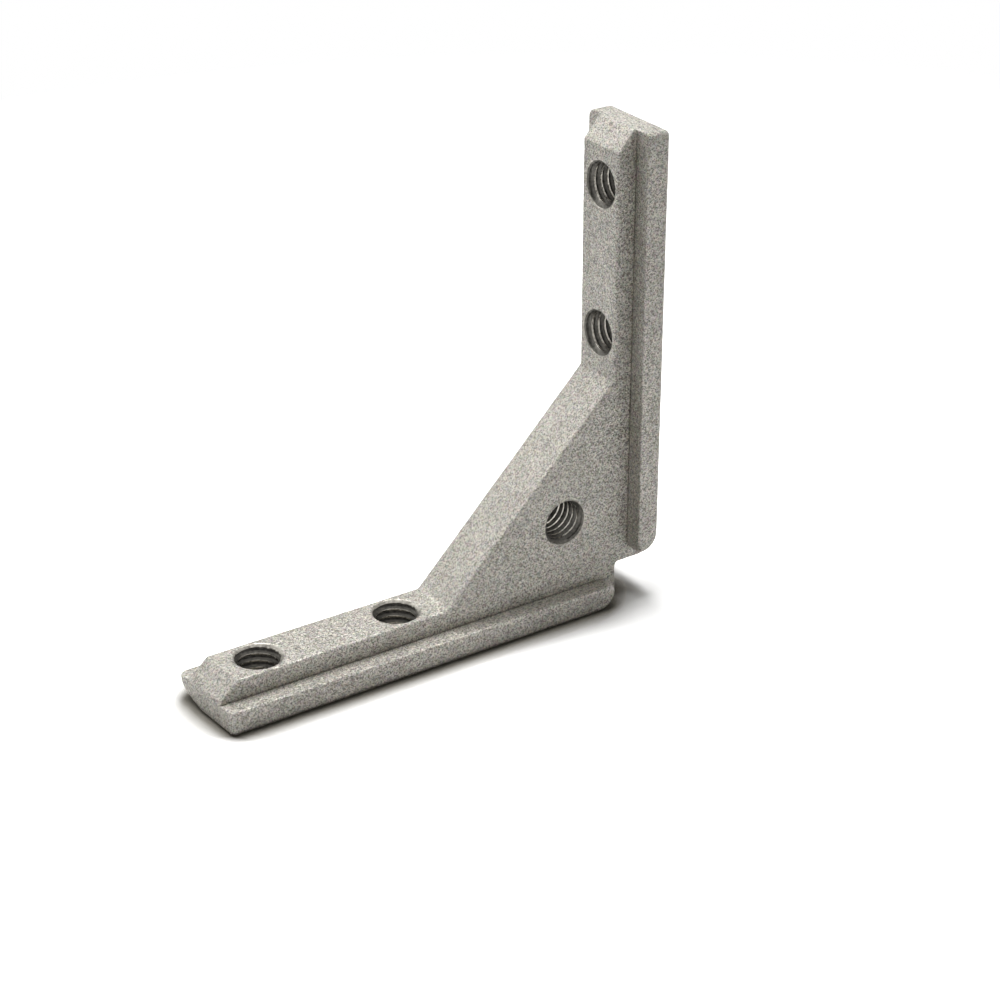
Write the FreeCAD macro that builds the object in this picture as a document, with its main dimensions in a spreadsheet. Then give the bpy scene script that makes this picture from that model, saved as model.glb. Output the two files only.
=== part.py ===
"""T slot corner bracket: one die-cast piece, two T-section legs at a right angle with a triangular gusset.

Frame, in millimetres: the origin is the outer corner, where the outer faces of the two legs would meet on
the middle plane of the casting. One leg lies along +X with its outer face down on z = 0. The other stands
along +Z with its outer face on x = 0. The casting is alike on both sides of y = 0, apart from the lean of its
free ends, their rounder corners on the -Y side, and the gusset hole's countersink on the +Y side.
"""
import FreeCAD, Part
import math
import os

import Sketcher

# Driving sizes, in millimetres or degrees.
SIZES = {
    # legs
    "leg_length": 51.65,           # outer face of one leg to the middle of the other's free end
    "section_height": 4.8,         # outer face of a leg to its inner face
    "neck_width": 6.0,             # the neck passes through the mouth of the slot
    "flange_width": 10.15,         # the flange is held under the lips of the slot
    "flange_thickness": 2.65,
    "tip_slope_run": 2.15,         # the neck falls away over this length at a free end
    "tip_rise": 0.3,               # the foot of that slope stands this far above the flange
    "tip_round_radius": 0.35,      # and runs into the end face by this rounding
    "lying_end_lean": 3.6,         # the free ends lean by these angles, so that they are longer at -Y
    "standing_end_lean": 0.8,
    # corner
    "neck_start": 4.05,            # the neck ends this far from the outer faces, which leaves a notch
    "flange_start": 5.4,           # the flanges end a little further in
    "flange_toe_depth": 0.4,       # and their inner corners there are cut off by this depth
    "flange_toe_rise": 0.8,        # over this length
    "flange_end_flat": 0.25,       # between that corner and the heel's rounding
    "neck_recess": 0.1,            # the neck stands this little back from the flanges' outer faces
    "gusset_reach": 25.2,          # outer face to the foot of the sloping edge
    # roundings
    "gusset_root_radius": 0.8,
    "notch_radius": 0.4,
    "neck_heel_radius": 1.0,
    "flange_outer_radius": 0.6,
    "flange_far_corner_radius": 0.9,  # the free ends' corners on the -Y side are rounder
    "flange_inner_radius": 0.2,
    "neck_edge_radius": 0.3,
    # tapped holes
    "thread_diameter": 5.0,
    "thread_pitch": 0.8,
    "mouth_diameter": 5.1,
    "mouth_angle": 90.0,
    "near_hole_place": 29.6,       # outer face of the other leg to the hole beside the gusset
    "far_hole_inset": 6.15,        # the free end to the hole beside it
    "gusset_hole_place": 10.7,     # both outer faces to the hole in the gusset
}

NEAR = 1e-6
ABOUT_ACROSS = FreeCAD.Vector(1, 0, 0)
ABOUT_UP = FreeCAD.Vector(0, 1, 0)

# Expressions on the sheet, for the sketches.
RAW_LENGTH = "sizes.leg_length + sizes.tip_slope_run"
TIP_FOOT = "sizes.flange_thickness + sizes.tip_rise"
TOE_START = "sizes.flange_thickness - sizes.flange_toe_depth"
TOE_END = "sizes.flange_start + sizes.flange_toe_rise"
HEEL_RADIUS = f"{TOE_START} - sizes.flange_end_flat"
BORE_DIAMETER = "sizes.thread_diameter - sizes.thread_pitch"
FAR_HOLE_PLACE = "sizes.leg_length - sizes.far_hole_inset"


def fill_sheet(doc):
    """Writes the driving sizes into the sheet, one row each, with the size's name as its alias."""
    sheet = doc.addObject("Spreadsheet::Sheet", "sizes")
    for row, (name, size) in enumerate(SIZES.items(), start=1):
        sheet.set(f"A{row}", name)
        sheet.set(f"B{row}", str(size))
        sheet.setAlias(f"B{row}", name)
    doc.recompute()
    return sheet


def start_sketch(body, name, role, offset="0"):
    """Starts a sketch on one of the body's origin planes, moved along the plane's normal."""
    sketch = body.newObject("Sketcher::SketchObject", name)
    plane = next(feature for feature in body.Origin.OriginFeatures if feature.Role == role)
    sketch.AttachmentSupport = [(plane, "")]
    sketch.MapMode = "FlatFace"
    sketch.setExpression("AttachmentOffset.Base.z", offset)
    return sketch


def tie(sketch, text, kind, *where):
    """Adds a constraint whose value follows an expression on the sheet."""
    index = sketch.addConstraint(Sketcher.Constraint(kind, *where, sketch.evalExpression(text)))
    sketch.setExpression(f"Constraints[{index}]", text)


def tie_point(sketch, curve, end, across, up):
    """Ties one point of a curve to the sketch's origin. An empty text puts it on the axis."""
    if across:
        tie(sketch, across, "DistanceX", -1, 1, curve, end)
    else:
        sketch.addConstraint(Sketcher.Constraint("PointOnObject", curve, end, -2))
    if up:
        tie(sketch, up, "DistanceY", -1, 1, curve, end)
    else:
        sketch.addConstraint(Sketcher.Constraint("PointOnObject", curve, end, -1))


def place_of(sketch, across, up):
    """Returns where two expressions lie now. An empty text is zero."""
    numbers = [sketch.evalExpression(text) if text else 0.0 for text in (across, up)]
    return FreeCAD.Vector(*numbers, 0)


def draw_outline(sketch, corners):
    """Draws a closed outline through corners of (across, up, radius). An empty radius is sharp."""
    places = [place_of(sketch, across, up) for across, up, _ in corners]
    sides = []
    for place, following in zip(places, places[1:] + places[:1]):
        sides.append(sketch.addGeometry(Part.LineSegment(place, following)))
    for side, following in zip(sides, sides[1:] + sides[:1]):
        sketch.addConstraint(Sketcher.Constraint("Coincident", side, 2, following, 1))
    for side, (across, up, _) in zip(sides, corners):
        tie_point(sketch, side, 1, across, up)
    for side, (_, _, radius) in zip(sides, corners):
        if radius:
            sketch.fillet(side, 1, sketch.evalExpression(radius), True, True)
            arc = sketch.GeometryCount - 2
            tie(sketch, radius, "Radius", arc)


def pad_both_ways(body, sketch, name, width):
    """Pads a sketch evenly to both sides of its plane."""
    pad = body.newObject("PartDesign::Pad", name)
    pad.Profile = sketch
    pad.SideType = "Symmetric"
    pad.setExpression("Length", width)
    body.Document.recompute()


def round_edges(body, name, radius, wanted):
    """Rounds the edges of the body so far whose two ends and middle all pass a test."""
    base = body.Tip
    names = []
    for index, edge in enumerate(base.Shape.Edges, start=1):
        first, last = edge.ParameterRange
        points = [edge.valueAt(place) for place in (first, (first + last) / 2, last)]
        if wanted(points):
            names.append(f"Edge{index}")
    fillet = body.newObject("PartDesign::Fillet", name)
    fillet.Base = (base, names)
    fillet.setExpression("Radius", radius)
    body.Document.recompute()


def trim_end(body, name, shift, corners, axis, angle):
    """Cuts a free end to its side outline, which starts from the end of the leg and leans about an axis."""
    sketch = start_sketch(body, f"{name}_outline", "XZ_Plane")
    start_angle = sketch.evalExpression(angle)
    sketch.AttachmentOffset = FreeCAD.Placement(FreeCAD.Vector(), FreeCAD.Rotation(axis, start_angle))
    sketch.setExpression("AttachmentOffset.Rotation.Angle", angle)
    sketch.setExpression(f"AttachmentOffset.Base.{shift}", "sizes.leg_length")
    body.Document.recompute()
    draw_outline(sketch, corners)
    pocket = body.newObject("PartDesign::Pocket", name)
    pocket.Profile = sketch
    pocket.SideType = "Symmetric"
    pocket.setExpression("Length", "2 * sizes.flange_width")
    body.Document.recompute()


def tap_holes(body, name, role, offset, places, turned=False):
    """Cuts tap-size holes with a small countersink right through, starting from a face."""
    sketch = start_sketch(body, f"{name}_places", role, offset)
    for across, up in places:
        middle = place_of(sketch, across, up)
        radius = sketch.evalExpression(BORE_DIAMETER) / 2
        circle = sketch.addGeometry(Part.Circle(middle, FreeCAD.Vector(0, 0, 1), radius))
        tie_point(sketch, circle, 3, across, up)
        tie(sketch, BORE_DIAMETER, "Diameter", circle)
    body.Document.recompute()
    before = body.Tip.Shape.Volume
    hole = body.newObject("PartDesign::Hole", name)
    hole.Profile = sketch
    body.Document.recompute()
    hole.Reversed = turned
    hole.DepthType = "ThroughAll"
    hole.setExpression("Diameter", BORE_DIAMETER)
    hole.HoleCutType = "Countersink"
    hole.HoleCutCustomValues = True
    hole.setExpression("HoleCutDiameter", "sizes.mouth_diameter")
    hole.setExpression("HoleCutCountersinkAngle", "sizes.mouth_angle")
    body.Document.recompute()
    if hole.Shape.Volume >= before:
        raise ValueError(f"{name} cuts nothing")


def on(number, size):
    """Tells whether two lengths are the same."""
    return abs(number - size) < NEAR


doc = FreeCAD.newDocument("corner_bracket")
sheet = fill_sheet(doc)
slope_start = sheet.leg_length - sheet.tip_slope_run
body = doc.addObject("PartDesign::Body", "corner_bracket")
body.Label = "corner_bracket"
body.Placement = FreeCAD.Placement()


def leg_place(point):
    """Returns how far a point lies along its leg, in from the outer face, and out from the middle."""
    along, inward = (point.x, point.z) if point.x > point.z else (point.z, point.x)
    return along, inward, abs(point.y)


def at_free_end(point):
    """Tells whether a point lies on the leaning end of a flange."""
    angle = sheet.lying_end_lean if point.x > point.z else sheet.standing_end_lean
    lean = point.y * math.tan(math.radians(angle))
    return on(leg_place(point)[0] + lean, sheet.leg_length)


def web_edge(points):
    """The outline of both side faces of the web, apart from its ends."""
    places = [leg_place(point) for point in points]
    at_side = all(on(out, sheet.neck_width / 2) for _, _, out in places)
    return at_side and not all(along > sheet.leg_length for along, _, _ in places)


def slope_edge(points):
    """The edges of the end slopes, at the top and along both sides."""
    places = [leg_place(point) for point in points]
    past_start = all(along > slope_start - sheet.neck_width / 2 for along, _, _ in places)
    above_flange = all(inward > sheet.flange_thickness + NEAR for _, inward, _ in places)
    at_end = any(at_free_end(point) for point in points)
    return past_start and above_flange and not at_end


def far_corner_edge(points):
    """The two corners of the free ends on the -Y side, across the flange's thickness."""
    return all(at_free_end(point) and on(point.y, -sheet.flange_width / 2) for point in points)


def flange_outer_edge(points):
    """The outer long edges, round the heels, and the outer edges of the free ends."""
    places = [leg_place(point) for point in points]
    at_side = all(on(out, sheet.flange_width / 2) for _, _, out in places)
    at_inner_face = all(on(inward, sheet.flange_thickness) for _, inward, _ in places)
    at_tip_floor = all(at_free_end(point) and on(leg_place(point)[1], 0) for point in points)
    return at_tip_floor or (at_side and not at_inner_face)


def flange_inner_edge(points):
    """The long edges of the flanges' inner faces, away from the neck, and the tops of their toes."""
    places = [leg_place(point) for point in points]
    beside_neck = all(out > sheet.neck_width / 2 - NEAR for _, _, out in places)
    at_neck = all(out < sheet.neck_width / 2 + NEAR for _, _, out in places)
    at_tip = all(at_free_end(point) for point in points)
    at_inner_face = all(on(inward, sheet.flange_thickness) for _, inward, _ in places)
    return at_inner_face and not at_tip and beside_neck and not at_neck


# Neck and gusset: one flat web, with free ends that slope away and a notch at the outer corner.
web_outline = start_sketch(body, "web_outline", "XZ_Plane")
draw_outline(web_outline, [
    ("sizes.neck_start", "sizes.neck_recess", "sizes.neck_heel_radius"),
    (RAW_LENGTH, "sizes.neck_recess", ""),
    (RAW_LENGTH, "sizes.section_height", ""),
    ("sizes.gusset_reach", "sizes.section_height", "sizes.gusset_root_radius"),
    ("sizes.section_height", "sizes.gusset_reach", "sizes.gusset_root_radius"),
    ("sizes.section_height", RAW_LENGTH, ""),
    ("sizes.neck_recess", RAW_LENGTH, ""),
    ("sizes.neck_recess", "sizes.neck_start", "sizes.neck_heel_radius"),
    ("sizes.neck_start", "sizes.neck_start", "sizes.notch_radius"),
])
pad_both_ways(body, web_outline, "web", "sizes.neck_width")
round_edges(body, "web_edges", "sizes.neck_edge_radius", web_edge)

# Flanges: a flat bar along the outer side of each leg, rounded at the heel.
lying_outline = start_sketch(body, "lying_flange_outline", "XZ_Plane")
draw_outline(lying_outline, [
    ("sizes.flange_start", "", HEEL_RADIUS),
    (RAW_LENGTH, "", ""),
    (RAW_LENGTH, "sizes.flange_thickness", ""),
    (TOE_END, "sizes.flange_thickness", ""),
    ("sizes.flange_start", TOE_START, ""),
])
pad_both_ways(body, lying_outline, "lying_flange", "sizes.flange_width")
standing_outline = start_sketch(body, "standing_flange_outline", "XZ_Plane")
draw_outline(standing_outline, [
    ("", "sizes.flange_start", HEEL_RADIUS),
    (TOE_START, "sizes.flange_start", ""),
    ("sizes.flange_thickness", TOE_END, ""),
    ("sizes.flange_thickness", RAW_LENGTH, ""),
    ("", RAW_LENGTH, ""),
])
pad_both_ways(body, standing_outline, "standing_flange", "sizes.flange_width")

# Free ends: the neck slopes down to the flange, and the whole end leans.
tip_outline = [
    ("-sizes.tip_slope_run", "sizes.section_height", ""),
    ("", TIP_FOOT, "sizes.tip_round_radius"),
    ("", "-sizes.tip_slope_run", ""),
    ("2 * sizes.tip_slope_run", "-sizes.tip_slope_run", ""),
    ("2 * sizes.tip_slope_run", "sizes.section_height + sizes.tip_slope_run", ""),
    ("-sizes.tip_slope_run", "sizes.section_height + sizes.tip_slope_run", ""),
]
turned_outline = [(up, across, radius) for across, up, radius in reversed(tip_outline)]
trim_end(body, "lying_end", "x", tip_outline, ABOUT_UP, "sizes.lying_end_lean")
trim_end(body, "standing_end", "y", turned_outline, ABOUT_ACROSS, "-sizes.standing_end_lean")
round_edges(body, "slope_edges", "sizes.neck_edge_radius", slope_edge)

# Roundings of the flanges.
round_edges(body, "flange_far_corners", "sizes.flange_far_corner_radius", far_corner_edge)
round_edges(body, "flange_outer_edges", "sizes.flange_outer_radius", flange_outer_edge)
round_edges(body, "flange_inner_edges", "sizes.flange_inner_radius", flange_inner_edge)

# Tapped holes: two through each leg, square to it, and one across the gusset.
tap_holes(body, "lying_leg_holes", "XY_Plane", "sizes.section_height", [
    ("sizes.near_hole_place", ""),
    (FAR_HOLE_PLACE, ""),
])
tap_holes(body, "standing_leg_holes", "YZ_Plane", "sizes.section_height", [
    ("", "sizes.near_hole_place"),
    ("", FAR_HOLE_PLACE),
])
tap_holes(body, "gusset_hole", "XZ_Plane", "-sizes.neck_width / 2", [
    ("sizes.gusset_hole_place", "sizes.gusset_hole_place"),
], turned=True)

for feature in doc.Objects:
    if "Invalid" in feature.State or "Error" in feature.State:
        raise ValueError(f"{feature.Name}: {feature.State}")
if body.Shape.isNull() or not body.Shape.isValid() or len(body.Shape.Solids) != 1:
    raise ValueError(f"{body.Label} is not one valid solid")

os.makedirs("parts", exist_ok=True)
body.Shape.exportStep(f"parts/{body.Label}.step")
box = body.Shape.optimalBoundingBox(False, False)
print(f"{body.Label}: {box.XLength:.2f} x {box.YLength:.2f} x {box.ZLength:.2f} mm")
print(f"volume {body.Shape.Volume:.1f} mm3")
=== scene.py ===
# %% [markdown]
# # A die-cast corner bracket for slotted profiles
# The part is a single casting in zinc alloy. Two T-section legs meet at a right angle, a triangular gusset
# joins them, and five holes are tapped for set screws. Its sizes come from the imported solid, so this lesson
# adds what the solid leaves out: the uneven skin of a casting, the cut threads, and the finishes of both.
# Everything is in metres, in the solid's own frame: X along the lying leg, Z up the standing leg.

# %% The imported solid
import math

import bmesh
import bpy
from mathutils import Matrix, Vector, noise


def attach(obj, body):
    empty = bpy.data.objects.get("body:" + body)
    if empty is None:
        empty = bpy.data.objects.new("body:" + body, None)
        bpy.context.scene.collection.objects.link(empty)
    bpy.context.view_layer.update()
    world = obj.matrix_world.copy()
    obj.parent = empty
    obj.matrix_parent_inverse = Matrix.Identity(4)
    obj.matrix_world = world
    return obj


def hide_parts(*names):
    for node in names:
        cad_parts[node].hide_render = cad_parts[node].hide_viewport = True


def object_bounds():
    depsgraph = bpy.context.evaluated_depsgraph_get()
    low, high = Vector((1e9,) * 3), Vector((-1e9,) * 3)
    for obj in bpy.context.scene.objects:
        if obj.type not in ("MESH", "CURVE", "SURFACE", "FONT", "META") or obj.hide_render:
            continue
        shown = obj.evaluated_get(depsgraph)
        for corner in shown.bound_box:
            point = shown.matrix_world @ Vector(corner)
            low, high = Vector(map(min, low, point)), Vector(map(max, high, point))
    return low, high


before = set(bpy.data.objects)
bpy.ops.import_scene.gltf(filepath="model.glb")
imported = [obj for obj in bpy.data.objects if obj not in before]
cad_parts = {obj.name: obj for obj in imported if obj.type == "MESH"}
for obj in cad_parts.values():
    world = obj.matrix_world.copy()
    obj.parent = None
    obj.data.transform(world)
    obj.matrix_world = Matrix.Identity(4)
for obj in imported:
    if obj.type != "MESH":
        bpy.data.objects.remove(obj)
cad_low, cad_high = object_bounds()
MM = 0.001
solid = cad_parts["corner_bracket"]
print("solid:", [round(side / MM, 2) for side in Vector(cad_high) - Vector(cad_low)], "mm")

# %% [markdown]
# ## The camera
# The photograph was taken with a long lens, from above, looking into the right angle and at the gusset's
# side. The camera's place, direction and lens were worked out from the bracket's straight edges, so they are
# plain numbers here. A rotation matrix needs three axes: the camera looks along its own -Z, with X to the
# right and Y up.

# %% The camera
X_AXIS, Y_AXIS, Z_AXIS = Vector((1, 0, 0)), Vector((0, 1, 0)), Vector((0, 0, 1))
CAMERA_PLACE = Vector((137.368, 179.634, 123.607)) * MM
CAMERA_LOOK = Vector((-0.49796, -0.73938, -0.45316)).normalized()
CAMERA_ROLL = math.radians(-0.08)
CAMERA_SENSOR = 36.0
CAMERA_NEAR = 10 * MM
CAMERA_SHIFT = (-0.00366, 0.00199)
FOCAL_PIXELS = 2363.34
PICTURE_PIXELS = 1000

camera_right = CAMERA_LOOK.cross(Z_AXIS).normalized()
camera_up = camera_right.cross(CAMERA_LOOK)
camera_turn = Matrix((camera_right, camera_up, -CAMERA_LOOK)).transposed().to_4x4()
camera_roll = Matrix.Rotation(CAMERA_ROLL, 4, "Z")
camera_data = bpy.data.cameras.new("photo_camera")
camera_data.sensor_width = CAMERA_SENSOR
camera_data.lens = CAMERA_SENSOR * FOCAL_PIXELS / PICTURE_PIXELS
camera_data.shift_x, camera_data.shift_y = CAMERA_SHIFT
camera_data.clip_start = CAMERA_NEAR
camera = bpy.data.objects.new("photo_camera", camera_data)
camera.matrix_world = Matrix.Translation(CAMERA_PLACE) @ camera_turn @ camera_roll
bpy.context.scene.collection.objects.link(camera)
bpy.context.scene.camera = camera
print("lens:", round(camera_data.lens, 2), "mm")

# %% [markdown]
# ## Shader maths
# Node trees are easier to read as sums. A small class wraps an output socket and overloads the operators, so
# `1 - mask * 0.3` adds the Math nodes by itself, whichever side the number is on.


# %% Shader maths
class Value:
    """An output socket that can be added, subtracted and multiplied like a number."""

    def __init__(self, socket):
        self.socket = socket

    def maths(self, operation, first, second):
        """Adds a Math node, on two values or numbers, to the tree that this value is in."""
        tree = self.socket.id_data
        step = tree.nodes.new("ShaderNodeMath")
        step.operation = operation
        for slot, given in zip(step.inputs, (first, second)):
            if isinstance(given, Value):
                tree.links.new(given.socket, slot)
            else:
                slot.default_value = given
        return Value(step.outputs[0])

    def __add__(self, other):
        return self.maths("ADD", self, other)

    def __radd__(self, other):
        return self.maths("ADD", other, self)

    def __sub__(self, other):
        return self.maths("SUBTRACT", self, other)

    def __rsub__(self, other):
        return self.maths("SUBTRACT", other, self)

    def __mul__(self, other):
        return self.maths("MULTIPLY", self, other)

    def __rmul__(self, other):
        return self.maths("MULTIPLY", other, self)

    def larger(self, other):
        return self.maths("MAXIMUM", self, other)

    def between(self, low, high):
        """Runs from one number to another while this value runs from 0 to 1."""
        return low + self * (high - low)


# %% [markdown]
# ## Every other node
# The other nodes come from one method, `node`, which takes the type, the node's settings and its inputs. An
# input or output goes by its name, or by its number where a node has several of one name, as a Mix node has.
# The methods after it only shorten the calls that come back often.


# %% Every other node
class Graph:
    """The node tree of a material or a world, built by calls."""

    def __init__(self, owner):
        owner.use_nodes = True
        self.owner = owner
        self.tree = owner.node_tree
        self.tree.nodes.clear()

    def node(self, kind, settings=None, inputs=None, output=0):
        """Adds a node, sets its settings, then fills or links its inputs, and returns one output."""
        made = self.tree.nodes.new(kind)
        for name, setting in (settings or {}).items():
            setattr(made, name, setting)
        for name, given in (inputs or {}).items():
            if isinstance(given, Value):
                self.tree.links.new(given.socket, made.inputs[name])
            else:
                made.inputs[name].default_value = given
        return Value(made.outputs[output]) if len(made.outputs) else made

    def mix(self, kind, share, first, second):
        """Mixes two colours."""
        return self.node("ShaderNodeMix", {"data_type": "RGBA", "blend_type": kind},
                         {0: share, 6: first, 7: second}, output=2)

    def vector(self, operation, inputs, output="Vector"):
        """Works out a vector, or a number from one."""
        return self.node("ShaderNodeVectorMath", {"operation": operation}, inputs, output)

    def spread(self, value, low, high, start, end):
        """Stretches a value from the range start to end to the range low to high, and holds it there."""
        return self.node("ShaderNodeMapRange", inputs={
            "Value": value, "From Min": start, "From Max": end, "To Min": low, "To Max": high,
        })

    def place(self):
        """The place on the object, in metres."""
        return self.node("ShaderNodeTexCoord", output="Object")


# %% [markdown]
# ## Who sees the studio
# A studio's white surroundings are seen brighter than they light. The Light Path node tells apart the rays
# that look at them, which come from the camera, from a reflection or through glass, and the rays that carry
# their light onto things. The sheet and the air both use this.

# %% Who sees the studio
WHITE = (1.0, 1.0, 1.0, 1.0)


def seen_directly(graph):
    """1 for rays from the camera, a reflection or through glass, and 0 for the light that falls on things."""
    camera_ray, glossy_ray, through_ray = (
        graph.node("ShaderNodeLightPath", output=name)
        for name in ("Is Camera Ray", "Is Glossy Ray", "Is Transmission Ray")
    )
    return camera_ray.larger(glossy_ray).larger(through_ray)


# %% [markdown]
# ## The white sheet
# The bracket lies on a white sheet that runs out of sight. In the photograph the sheet is lit past white, so
# only the deepest part of the shadow is left, close under the legs. The sheet here is plain white too, and
# the rays that look at it see it brighter: its lit part turns white, its shadow stays, and the light on the
# bracket isn't changed. Where the bracket keeps most of the sky off the sheet, close beside it, a painted
# shade darkens the sheet's colour as well. Beyond the lamps' reach, the rays that look at it see plain white.

# %% The white sheet
FLOOR_WHITE, FLOOR_SEEN = 0.8, 1.8
CONTACT_REACH = 4.2 * MM
CONTACT_SHADE_COLOUR = (0.17, 0.16, 0.14, 1.0)
CONTACT_OPENNESS, FREE_OPENNESS = 0.66, 0.98
SKY_SAMPLES = 8
LIT_REACH = 100 * MM

sheet = Graph(bpy.data.materials.new("white_sheet"))
sheet_seen = seen_directly(sheet)
openness = sheet.node(
    "ShaderNodeAmbientOcclusion", {"samples": SKY_SAMPLES}, {"Distance": CONTACT_REACH}, output="AO",
)
# Painted shade: the sheet's colour darkens where the bracket hides most of its sky.
closeness = 1 - sheet.spread(openness, 0.0, 1.0, CONTACT_OPENNESS, FREE_OPENNESS)
painted_contact_shade = sheet.mix("MIX", closeness, WHITE, CONTACT_SHADE_COLOUR)
sheet_colour = sheet.mix("MULTIPLY", 1.0, painted_contact_shade, sheet_seen.between(FLOOR_WHITE, FLOOR_SEEN))
matt = sheet.node("ShaderNodeBsdfDiffuse", inputs={"Color": sheet_colour})
from_middle = sheet.vector("LENGTH", {0: sheet.place()}, output="Value")
far_and_seen = sheet.spread(from_middle, 0.0, 1.0, LIT_REACH, 2 * LIT_REACH) * sheet_seen
plain_white = sheet.node("ShaderNodeEmission", inputs={"Color": WHITE, "Strength": 1.0})
sheet_look = sheet.node("ShaderNodeMixShader", inputs={0: far_and_seen, 1: matt, 2: plain_white})
sheet.node("ShaderNodeOutputMaterial", inputs={"Surface": sheet_look})
print("white sheet:", len(sheet.tree.nodes), "nodes")

# %% [markdown]
# ## The floor and the air
# The sheet is one large square at the height of the lying leg's sole. The air gives almost no light, but it
# is white to the rays that see the studio, so nothing shows where the sheet ends.

# %% The floor and the air
FLOOR_SIDE = 4.0
AIR_LIGHT, AIR_SEEN = 0.02, 1.0

floor_mesh = bmesh.new()
bmesh.ops.create_grid(floor_mesh, x_segments=1, y_segments=1, size=FLOOR_SIDE / 2)
floor_data = bpy.data.meshes.new("studio_floor")
floor_mesh.to_mesh(floor_data)
floor_mesh.free()
floor_data.materials.append(sheet.owner)
floor = bpy.data.objects.new("studio_floor", floor_data)
bpy.context.scene.collection.objects.link(floor)

air = Graph(bpy.data.worlds.new("studio_air"))
air_strength = seen_directly(air).between(AIR_LIGHT, AIR_SEEN)
sky = air.node("ShaderNodeBackground", inputs={"Color": WHITE, "Strength": air_strength})
air.node("ShaderNodeOutputWorld", inputs={"Surface": sky})
bpy.context.scene.world = air.owner
bpy.context.scene.view_settings.view_transform = "Standard"
print("floor:", FLOOR_SIDE, "m wide")

# %% [markdown]
# ## The lamps
# The light was read off the photograph face by face. The tops are bright, the gusset's slope nearly as much,
# the side faces are mid grey, and the flange beside the gusset is dark, so nearly all of the light comes
# from above and a little behind. Each lamp is a soft disc at the same distance, and the table gives its
# height and its compass direction in degrees, then its power in watts.

# %% The lamps
LAMPS = {
    "top_lamp": (78, 270, 1.35),
    "top_left_lamp": (78, 180, 0.08),
    "back_left_lamp": (35, 300, 0.25),
    "back_lamp": (60, 315, 0.07),
    "low_front_lamp": (12, 135, 0.09),
}
LAMP_DISTANCE = 0.36
LAMP_SIZE = 0.24
AIM = Vector((0.02, 0.0, 0.02))

for name, (height_angle, compass_angle, watts) in LAMPS.items():
    lamp_data = bpy.data.lights.new(name, "AREA")
    lamp_data.shape = "DISK"
    lamp_data.size = LAMP_SIZE
    lamp_data.energy = watts
    rise, swing = math.radians(height_angle), math.radians(compass_angle)
    outward = Vector((math.cos(rise) * math.cos(swing), math.cos(rise) * math.sin(swing), math.sin(rise)))
    lamp = bpy.data.objects.new(name, lamp_data)
    lamp.location = AIM + outward * LAMP_DISTANCE
    lamp.rotation_euler = outward.to_track_quat("Z", "Y").to_euler()
    bpy.context.scene.collection.objects.link(lamp)
print("lamps:", len(LAMPS))

# %% [markdown]
# ## The skin's grid of cuts
# A die casting has crisp but uneven edges, and no true plane. The solid's faces are long thin triangles,
# which can't carry an uneven skin, so a copy is merged and then cut along an even grid in all three
# directions. That adds points on the flat faces and keeps each rounding and inner corner as it is. The grid
# starts at an odd share of its step, which keeps the cuts off the solid's edges. Four more cuts stand close
# beside the neck's foot, where a seam goes next, and three lie just under the tapped faces, at the holes'
# lips.

# %% The skin's grid of cuts
GRID, GRID_START = 0.5 * MM, 0.37
MERGE = 0.0005 * MM
NECK_FOOT, FLANGE_TOP, LEG_HEIGHT = 3.0 * MM, 2.65 * MM, 4.8 * MM
SEAM_WIDTH, LIP_DEPTH = 0.09 * MM, 0.10 * MM


def cut_across(mesh, axis, level):
    """Cuts a bmesh by a plane that stands across an axis at a level, and keeps both sides."""
    everything = mesh.verts[:] + mesh.edges[:] + mesh.faces[:]
    bmesh.ops.bisect_plane(mesh, geom=everything, plane_co=axis * level, plane_no=axis, dist=MERGE)


def open_edges(mesh):
    """How many edges of a bmesh don't join two faces. A closed one has none."""
    return sum(1 for edge in mesh.edges if not edge.is_manifold)


skin = bmesh.new()
skin.from_mesh(solid.data)
bmesh.ops.remove_doubles(skin, verts=skin.verts, dist=MERGE)
print("open edges in the solid:", open_edges(skin))
for axis, start, end in zip((X_AXIS, Y_AXIS, Z_AXIS), cad_low, cad_high):
    for step in range(math.ceil((end - start) / GRID)):
        cut_across(skin, axis, start + (step + GRID_START) * GRID)
seam_cuts = [
    (X_AXIS, FLANGE_TOP + SEAM_WIDTH), (Z_AXIS, FLANGE_TOP + SEAM_WIDTH),
    (Y_AXIS, NECK_FOOT + SEAM_WIDTH), (Y_AXIS, -NECK_FOOT - SEAM_WIDTH),
]
lip_cuts = [
    (X_AXIS, LEG_HEIGHT - LIP_DEPTH), (Z_AXIS, LEG_HEIGHT - LIP_DEPTH), (Y_AXIS, NECK_FOOT - LIP_DEPTH),
]
for axis, level in seam_cuts + lip_cuts:
    cut_across(skin, axis, level)
print("faces in the skin:", len(skin.faces))

# %% [markdown]
# ## The seam and the relief
# The mould leaves a fine dark seam along the neck's foot. The points of that inner corner are drawn into the
# metal, between the cuts beside it. A slow wave and a shorter ripple, both from smooth noise, push every
# point in or out along its normal. The seam's angle is in radians, and it is negative because the faces of
# an inner corner turn towards each other.

# %% The seam and the relief
SEAM_DEPTH = 0.20 * MM
SEAM_ANGLE = -0.7
RELIEF = {"wave": (4.5 * MM, 0.020 * MM), "ripple": (1.2 * MM, 0.010 * MM)}

skin.normal_update()
inner_corners = {
    point for edge in skin.edges if edge.is_manifold and edge.calc_face_angle_signed() < SEAM_ANGLE
    for point in edge.verts if abs(abs(point.co.y) - NECK_FOOT) < MERGE
}
for point in skin.verts:
    relief = sum(noise.noise(point.co / size) * depth for size, depth in RELIEF.values())
    point.co += point.normal * relief
for point in inner_corners:
    point.co -= point.normal * SEAM_DEPTH
print("points in the seams:", len(inner_corners))

# %% [markdown]
# ## A blunt corner
# The lying leg's far end has a blunt corner: seen from the front, its lower edge rises towards the far side.
# The points near that corner are drawn inwards and up, less and less with their distance from it. Then every
# point is held inside the solid's box.

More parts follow.
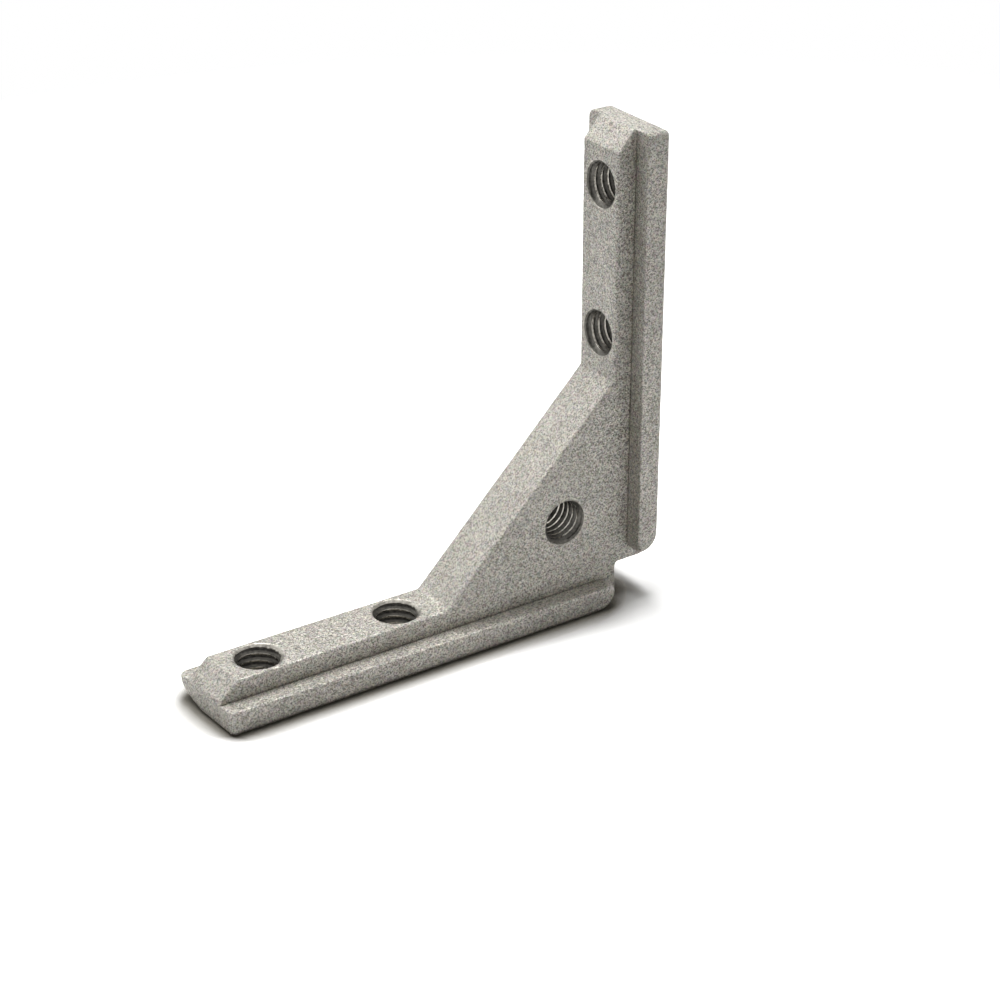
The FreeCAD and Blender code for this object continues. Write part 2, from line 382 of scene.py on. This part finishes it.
# %% The blunt corner
BLUNT_CORNER = Vector((51.97, -5.075, 0.0)) * MM
BLUNT_REACH = Vector((2.2, 4.6, 2.4)) * MM
BLUNT_SHIFT = Vector((-0.30, 0.55, 1.00)) * MM
BLUNT_FALL = 1.5

blunted = 0
for point in skin.verts:
    away = point.co - BLUNT_CORNER
    share = 1 - math.sqrt(sum((gap / reach) ** 2 for gap, reach in zip(away, BLUNT_REACH)))
    if share > 0:
        point.co += BLUNT_SHIFT * share ** BLUNT_FALL
        blunted += 1
    point.co = [min(max(spot, least), most) for spot, least, most in zip(point.co, cad_low, cad_high)]
print("points at the blunt corner:", blunted)

# %% [markdown]
# ## The casting's object
# The mesh now becomes an object. It sits at the origin, unturned, because its place is in its mesh. Later
# steps add modifiers and need the mesh that these give, so a second helper fetches it.


# %% The casting's object
def place_in_scene(name, mesh_data):
    """An object at the origin that shows a mesh."""
    thing = bpy.data.objects.new(name, mesh_data)
    bpy.context.scene.collection.objects.link(thing)
    return thing


def finished_mesh(thing):
    """The mesh that an object has once its modifiers are applied."""
    bpy.context.view_layer.update()
    graph = bpy.context.evaluated_depsgraph_get()
    return bpy.data.meshes.new_from_object(thing.evaluated_get(graph))


casting_data = bpy.data.meshes.new("casting")
skin.to_mesh(casting_data)
skin.free()
casting = place_in_scene("corner_bracket_casting", casting_data)
print("casting:", len(casting_data.vertices), "points")

# %% [markdown]
# ## The tap
# Each hole is tapped M5 x 0.8 after casting, so the thread is cut through the skin and its edges are crisp.
# The cutter is shaped like the tap: one pitch of its profile, from its core out to the tip of a ridge and
# back, spun round the axis while it climbs. Its turns meet after each full circle and are merged there, and
# both ends are drawn to a point. The core is a hair wider than the drilled bore, so that no two faces lie in
# one surface, and the metal left standing between the ridges is the crest of the thread.

# %% The tap
PITCH = 0.8 * MM
TURN_STEPS = 56
CORE_RADIUS, TIP_RADIUS = 2.13 * MM, 2.56 * MM
CORE_FLAT, TIP_FLAT = 0.20 * MM, 0.12 * MM
TIP_EASE = 0.04 * MM


def tap(name, length):
    """A closed screw-shaped cutter along +Z, centred on the origin, a pitch longer at both ends."""
    turns = math.ceil(length / PITCH) + 2
    start = -turns * PITCH / 2
    tip_start = (PITCH + CORE_FLAT - TIP_FLAT) / 2
    tip_end = tip_start + TIP_FLAT
    profile = [
        (CORE_RADIUS, 0.0),
        (CORE_RADIUS, CORE_FLAT),
        (TIP_RADIUS - TIP_EASE, tip_start - TIP_EASE / 2),
        (TIP_RADIUS, tip_start + TIP_EASE / 2),
        (TIP_RADIUS, tip_end - TIP_EASE / 2),
        (TIP_RADIUS - TIP_EASE, tip_end + TIP_EASE / 2),
        (CORE_RADIUS, PITCH),
    ]
    cutter = bmesh.new()
    corners = [cutter.verts.new((radius, 0, start + climb)) for radius, climb in profile]
    sides = [cutter.edges.new(pair) for pair in zip(corners, corners[1:])]
    bmesh.ops.spin(
        cutter, geom=corners + sides, cent=(0, 0, 0), axis=Z_AXIS, angle=2 * math.pi * turns,
        steps=TURN_STEPS * turns, dvec=(0, 0, PITCH / TURN_STEPS), use_merge=False,
    )
    bmesh.ops.remove_doubles(cutter, verts=cutter.verts, dist=MERGE)
    for rim_side in (-1, 1):
        rim = [edge for edge in cutter.edges if edge.is_boundary and edge.verts[0].co.z * rim_side > 0]
        drawn = bmesh.ops.extrude_edge_only(cutter, edges=rim)["geom"]
        tip = [item for item in drawn if isinstance(item, bmesh.types.BMVert)]
        bmesh.ops.pointmerge(cutter, verts=tip, merge_co=(0, 0, rim_side * (turns + 1) * PITCH / 2))
    bmesh.ops.recalc_face_normals(cutter, faces=cutter.faces)
    print(name, "turns:", turns, "faces:", len(cutter.faces), "open edges:", open_edges(cutter))
    return cutter


# %% [markdown]
# ## Cutting the holes
# Each hole gets its own cutter, turned to its axis and set in the middle of the metal. A boolean takes it
# away from the casting. The mouths keep the solid's small countersink, which the first turn of the thread
# runs into. The table gives the middle of each mouth, the way out of it, and the thickness of the metal.

# %% Cutting the holes
NEAR_HOLE, FAR_HOLE, GUSSET_HOLE = 29.6 * MM, 45.5 * MM, 10.7 * MM
HOLES = {
    "lying_near": (Vector((NEAR_HOLE, 0, LEG_HEIGHT)), Z_AXIS, LEG_HEIGHT),
    "lying_far": (Vector((FAR_HOLE, 0, LEG_HEIGHT)), Z_AXIS, LEG_HEIGHT),
    "standing_near": (Vector((LEG_HEIGHT, 0, NEAR_HOLE)), X_AXIS, LEG_HEIGHT),
    "standing_far": (Vector((LEG_HEIGHT, 0, FAR_HOLE)), X_AXIS, LEG_HEIGHT),
    "gusset": (Vector((GUSSET_HOLE, NECK_FOOT, GUSSET_HOLE)), Y_AXIS, 2 * NECK_FOOT),
}


def cut_away(body, cutter, name):
    """Takes a closed bmesh away from the body's mesh."""
    cutter_data = bpy.data.meshes.new(name)
    cutter.to_mesh(cutter_data)
    cutter.free()
    tool = place_in_scene(name, cutter_data)
    cut = body.modifiers.new(name, "BOOLEAN")
    cut.operation = "DIFFERENCE"
    cut.solver = "MANIFOLD"
    cut.object = tool
    body.data = finished_mesh(body)
    body.modifiers.clear()
    bpy.data.objects.remove(tool)
    bpy.data.meshes.remove(cutter_data)


for name, (mouth, out, thickness) in HOLES.items():
    turn = Z_AXIS.rotation_difference(out).to_matrix().to_4x4()
    screw = tap(name, thickness)
    middle = mouth - out * thickness / 2
    bmesh.ops.transform(screw, matrix=Matrix.Translation(middle) @ turn, verts=screw.verts)
    cut_away(casting, screw, f"{name}_tap")
print("casting, tapped:", len(casting.data.polygons), "faces")

# %% [markdown]
# ## The cast finish
# Blasted zinc looks matt from afar and glitters close up. It is made of tiny facets, each leaning its own
# way: one catches a lamp and its neighbour doesn't. Cells give each facet a random colour. Its red makes the
# facet darker and rougher, or brighter and smoother. Read as a vector, the colour leans the surface. Larger
# cells make some patches yellower, pinker or greener than others, and a slow noise adds the mottling.

# %% The cast finish
CAST_SHADE = 0.365
CAST_TINT = (1.05, 1.0, 0.89, 1.0)
CAST_METALLIC = 0.3
FACET_SCALE, PATCH_SCALE, MOTTLE_SCALE = 8800.0, 4200.0, 330.0
FACET_DARK, FACET_BRIGHT = 0.42, 1.70
FACET_ROUGH, FACET_SMOOTH = 0.60, 0.40
FACET_LEAN = 0.4
NO_LEAN = (0.5, 0.5, 0.5)
PATCH_SHARE = 0.11
MOTTLE_DETAIL = 3.0
MOTTLE_DARK, MOTTLE_BRIGHT = 0.93, 1.07
NOISE_LOW, NOISE_HIGH = 0.3, 0.7

cast = Graph(bpy.data.materials.new("cast_zinc_blasted"))
spot = cast.place()
facet_colour, patch_colour = (
    cast.node("ShaderNodeTexVoronoi", inputs={"Vector": spot, "Scale": scale}, output="Color")
    for scale in (FACET_SCALE, PATCH_SCALE)
)
facet = cast.node("ShaderNodeSeparateColor", inputs={"Color": facet_colour}, output="Red")
mottle = cast.node(
    "ShaderNodeTexNoise", inputs={"Vector": spot, "Scale": MOTTLE_SCALE, "Detail": MOTTLE_DETAIL},
)
speckle = facet.between(CAST_SHADE * FACET_DARK, CAST_SHADE * FACET_BRIGHT)
mottling = cast.spread(mottle, MOTTLE_DARK, MOTTLE_BRIGHT, NOISE_LOW, NOISE_HIGH)
tinted = cast.mix("MULTIPLY", 1.0, CAST_TINT, speckle * mottling)
hued = cast.mix("SOFT_LIGHT", PATCH_SHARE, tinted, patch_colour)
print("facets and patches:", [round(1 / scale / MM, 2) for scale in (FACET_SCALE, PATCH_SCALE)], "mm wide")

# %% [markdown]
# ## The lean of the facets
# The facet's colour, less the middle of its range, points anywhere. A share of it is added to the surface's
# own normal, and the sum is brought back to length 1.

# %% The lean of the facets
straight = cast.node("ShaderNodeNewGeometry", output="Normal")
any_way = cast.vector("SUBTRACT", {0: facet_colour, 1: NO_LEAN})
lean = cast.vector("SCALE", {0: any_way, "Scale": FACET_LEAN})
leaning = cast.vector("NORMALIZE", {0: cast.vector("ADD", {0: straight, 1: lean})})


def metal_surface(graph, colour, metallic, roughness, normal):
    """Ends a material in a metal's surface."""
    surface = graph.node("ShaderNodeBsdfPrincipled", inputs={
        "Base Color": colour, "Metallic": metallic, "Roughness": roughness, "Normal": normal,
    })
    graph.node("ShaderNodeOutputMaterial", inputs={"Surface": surface})
    print(graph.owner.name, len(graph.tree.nodes), "nodes")


metal_surface(cast, hued, CAST_METALLIC, facet.between(FACET_ROUGH, FACET_SMOOTH), leaning)

# %% [markdown]
# ## The cut metal
# A tap leaves bare metal. The flanks and the roots are painted dark as shade, and the crests are painted
# bright as a highlight. The countersink's tone lies between the two. All have a fine uneven grain, made of
# one noise that varies the shade, the roughness and the slope.

# %% The cut metal
CUT_METALLIC = 0.9
SCRATCH_SCALE, SCRATCH_DETAIL = 3500.0, 2.0
SCRATCH_DEPTH, SCRATCH_STRENGTH = 0.02 * MM, 0.35
SCRATCH_DARK, SCRATCH_BRIGHT = 0.6, 1.4
SCRATCH_SMOOTHER, SCRATCH_ROUGHER = 0.06, 0.08


def cut_metal(name, shade, rough):
    """Bare metal of a shade and a roughness, with its grain."""
    graph = Graph(bpy.data.materials.new(name))
    scratch = graph.node("ShaderNodeTexNoise", inputs={
        "Vector": graph.place(), "Scale": SCRATCH_SCALE, "Detail": SCRATCH_DETAIL,
    })
    tone = graph.spread(scratch, shade * SCRATCH_DARK, shade * SCRATCH_BRIGHT, NOISE_LOW, NOISE_HIGH)
    roughness = graph.spread(
        scratch, rough - SCRATCH_SMOOTHER, rough + SCRATCH_ROUGHER, NOISE_LOW, NOISE_HIGH,
    )
    tilt = graph.node("ShaderNodeBump", inputs={
        "Strength": SCRATCH_STRENGTH, "Distance": SCRATCH_DEPTH, "Height": scratch,
    })
    metal_surface(graph, graph.mix("MULTIPLY", 1.0, CAST_TINT, tone), CUT_METALLIC, roughness, tilt)
    return graph.owner


# Painted light: the flanks take a painted shade, the crests a painted highlight, the cones a lit tone between.
shaded_flank = cut_metal("cut_thread_flank_painted_shade", 0.10, 0.42)
highlit_crest = cut_metal("cut_thread_crest_painted_highlight", 0.55, 0.30)
lit_mouth_cone = cut_metal("cut_mouth_cone_painted_light", 0.30, 0.38)

# %% [markdown]
# ## Which face has which finish
# A face was cut by a tap when it lies within the tap's reach of a hole's axis and under the surface. Close to
# the tap's core it is a crest, and further out it is a flank or a root. The lying leg's countersinks, which
# face up, take the cone's lit tone all over. Those of the other holes take it only at the lip, a painted
# highlight, and are as dark as the flanks below it, a painted shade. All other faces keep the cast skin.

# %% Which face has which finish
CUT_REACH, CREST_REACH = 2.59 * MM, 2.16 * MM
MOUTH_RADIUS = 2.55 * MM
CONE_SKIN, FACE_SKIN = 0.03 * MM, 0.03 * MM
SKIN_SLOT, FLANK_SLOT, CREST_SLOT, CONE_SLOT = range(4)


def finish_slot(middle):
    """The material slot for a face, by its middle."""
    for mouth, out, thickness in HOLES.values():
        depth = (mouth - middle).dot(out)
        radius = (middle - mouth + out * depth).length
        if radius > CUT_REACH or not FACE_SKIN < depth < thickness - FACE_SKIN:
            continue
        # Painted light: up-facing cones and the other lips take the lit tone, the rest of those cones the
        # painted shade.
        if radius + depth < MOUTH_RADIUS + CONE_SKIN:
            return CONE_SLOT if depth < LIP_DEPTH or out == Z_AXIS else FLANK_SLOT
        return CREST_SLOT if radius < CREST_REACH else FLANK_SLOT
    return SKIN_SLOT


# %% [markdown]
# ## Putting the finishes on
# The cuts leave some faces with no width. These are dissolved, and the rest is cut into triangles, so that
# the mesh is still closed once it is exported. Then each face takes its slot. Edges past an angle stay sharp,
# and weighted normals let the large faces decide how the small ones beside them are shaded, which keeps the
# flats flat.

# %% Putting the finishes on
SHARP_ANGLE = math.radians(35)

casting.data.materials.clear()
for finish in (cast.owner, shaded_flank, highlit_crest, lit_mouth_cone):
    casting.data.materials.append(finish)
painted = bmesh.new()
painted.from_mesh(casting.data)
bmesh.ops.dissolve_degenerate(painted, edges=painted.edges, dist=MERGE)
bmesh.ops.triangulate(painted, faces=painted.faces)
counts = [0] * len(casting.data.materials)
for face in painted.faces:
    face.smooth = True
    face.material_index = finish_slot(face.calc_center_median())
    counts[face.material_index] += 1
print("triangles:", len(painted.faces), " open edges:", open_edges(painted))
print("skin, flank, crest and cone faces:", counts)
painted.to_mesh(casting.data)
painted.free()
casting.data.set_sharp_from_angle(angle=SHARP_ANGLE)
flat_first = casting.modifiers.new("flat_faces_first", "WEIGHTED_NORMAL")
flat_first.keep_sharp = True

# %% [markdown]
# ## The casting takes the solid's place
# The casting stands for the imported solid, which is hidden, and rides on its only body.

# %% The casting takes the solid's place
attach(casting, "root")
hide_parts("corner_bracket")
